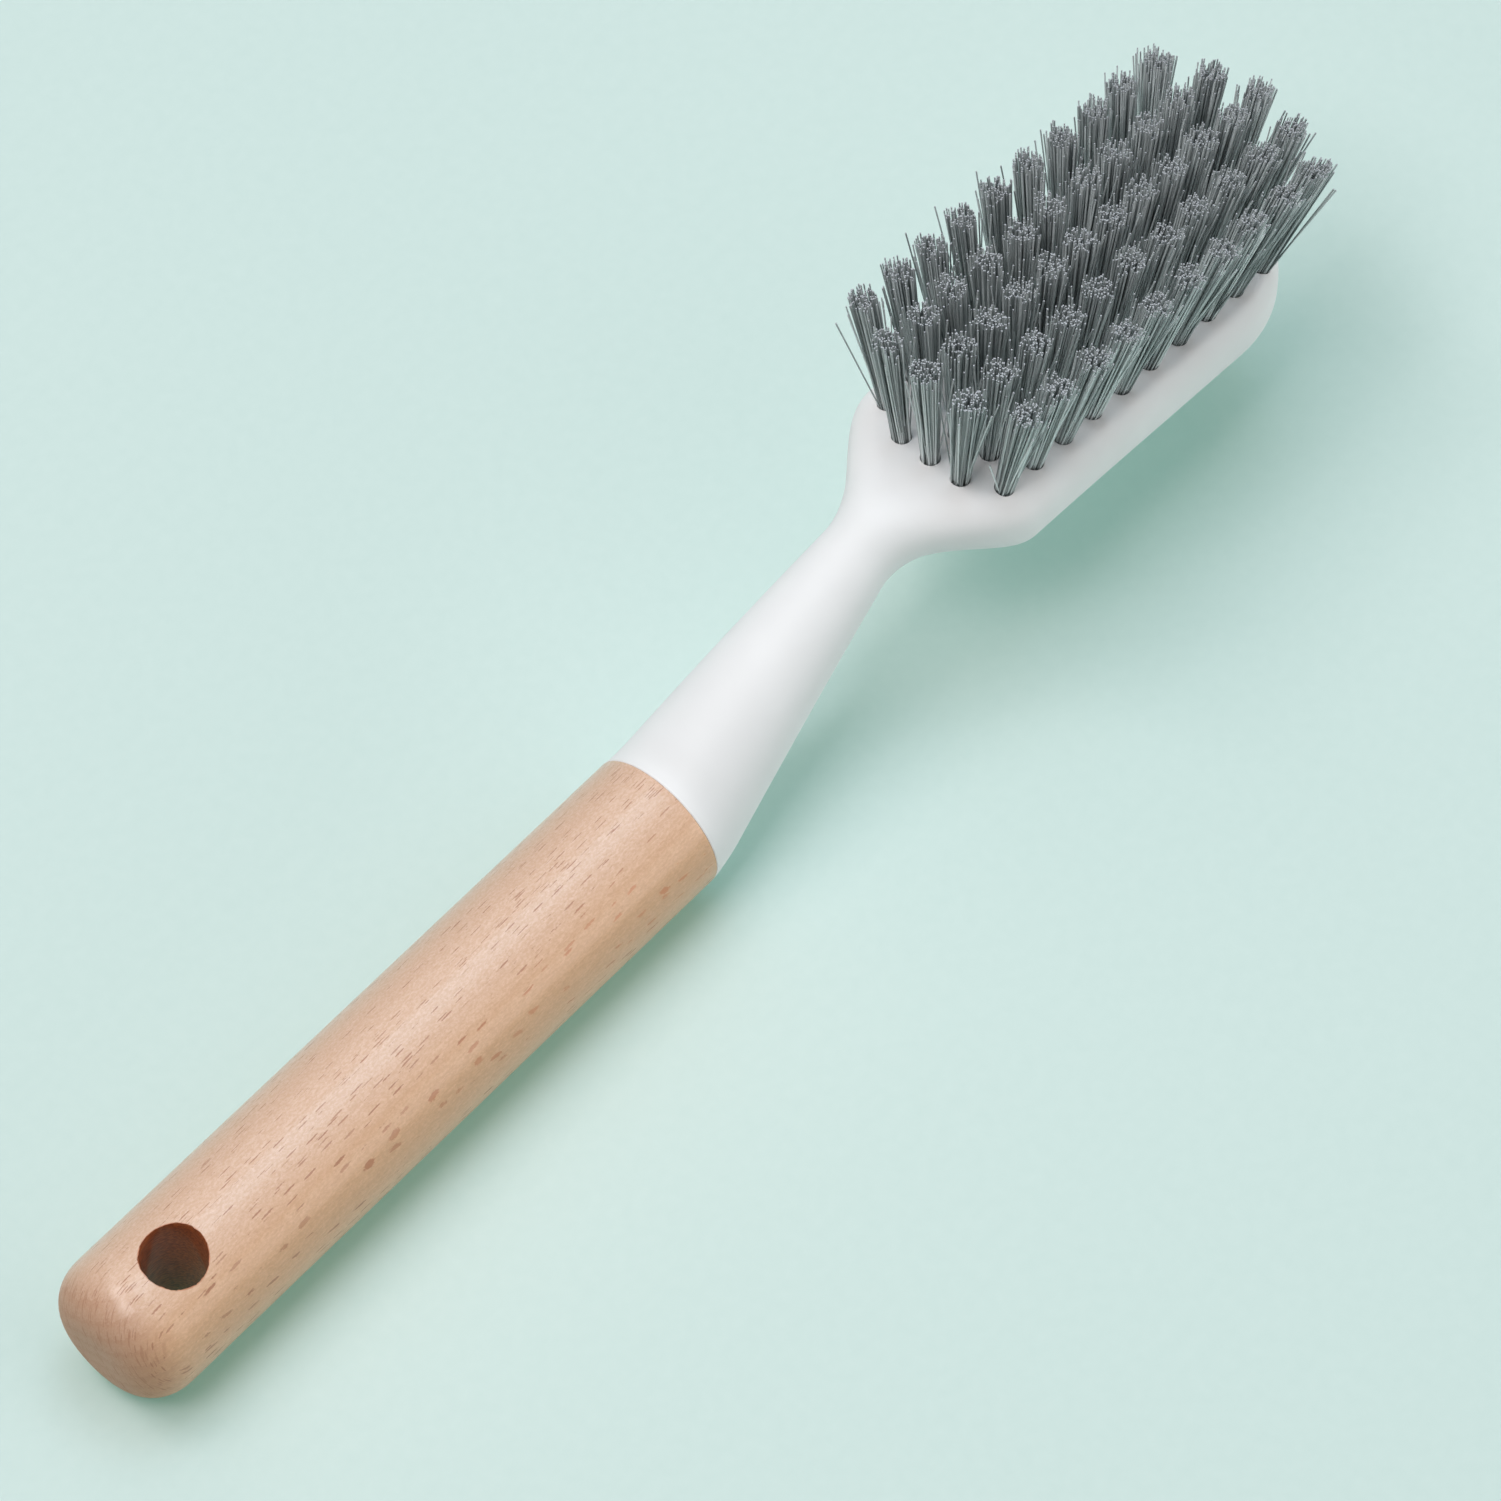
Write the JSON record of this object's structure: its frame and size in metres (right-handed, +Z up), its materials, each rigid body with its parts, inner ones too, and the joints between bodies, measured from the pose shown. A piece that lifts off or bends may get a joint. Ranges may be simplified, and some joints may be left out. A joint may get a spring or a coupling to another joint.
{
  "type": "shoe brush",
  "caption": "Shoe brush with a round beech handle drilled for hanging, a cranked white plastic head and stiff grey bristle tufts, for brushing dirt off shoes.",
  "frame": {"origin": "under the middle of the brush's overall box, on the surface that the handle lies on", "axes": "+X along the handle from its butt to the head, +Z up, the way the tufts point, +Y to the left"},
  "size_m": [0.2628, 0.0418, 0.0652],
  "materials": {
    "beech": "satin, short dark flecks along the grain",
    "white_plastic": "satin",
    "grey_nylon": "satin",
    "anchor_wire": "bright drawn wire"
  },
  "bodies": {
    "root": {"wooden_handle": "beech", "brush_head": "white_plastic", "bristles_left": "grey_nylon", "bristles_middle": "grey_nylon", "bristles_right": "grey_nylon", "anchor_01": "anchor_wire", "anchor_02": "anchor_wire", "anchor_03": "anchor_wire", "anchor_04": "anchor_wire", "anchor_05": "anchor_wire", "anchor_06": "anchor_wire", "anchor_07": "anchor_wire", "anchor_08": "anchor_wire", "anchor_09": "anchor_wire", "anchor_10": "anchor_wire", "anchor_11": "anchor_wire", "anchor_12": "anchor_wire", "anchor_13": "anchor_wire", "anchor_14": "anchor_wire", "anchor_15": "anchor_wire", "anchor_16": "anchor_wire", "anchor_17": "anchor_wire", "anchor_18": "anchor_wire", "anchor_19": "anchor_wire", "anchor_20": "anchor_wire", "anchor_21": "anchor_wire", "anchor_22": "anchor_wire", "anchor_23": "anchor_wire", "anchor_24": "anchor_wire", "anchor_25": "anchor_wire", "anchor_26": "anchor_wire", "anchor_27": "anchor_wire", "anchor_28": "anchor_wire", "anchor_29": "anchor_wire", "anchor_30": "anchor_wire", "anchor_31": "anchor_wire", "anchor_32": "anchor_wire", "anchor_33": "anchor_wire", "anchor_34": "anchor_wire", "anchor_35": "anchor_wire", "anchor_36": "anchor_wire", "anchor_37": "anchor_wire", "anchor_38": "anchor_wire", "anchor_39": "anchor_wire", "anchor_40": "anchor_wire", "anchor_41": "anchor_wire", "anchor_42": "anchor_wire", "anchor_43": "anchor_wire", "anchor_44": "anchor_wire", "anchor_45": "anchor_wire", "anchor_46": "anchor_wire", "anchor_47": "anchor_wire", "anchor_48": "anchor_wire", "anchor_49": "anchor_wire", "anchor_50": "anchor_wire", "anchor_51": "anchor_wire", "anchor_52": "anchor_wire", "anchor_53": "anchor_wire", "anchor_54": "anchor_wire"}
  },
  "joints": []
}
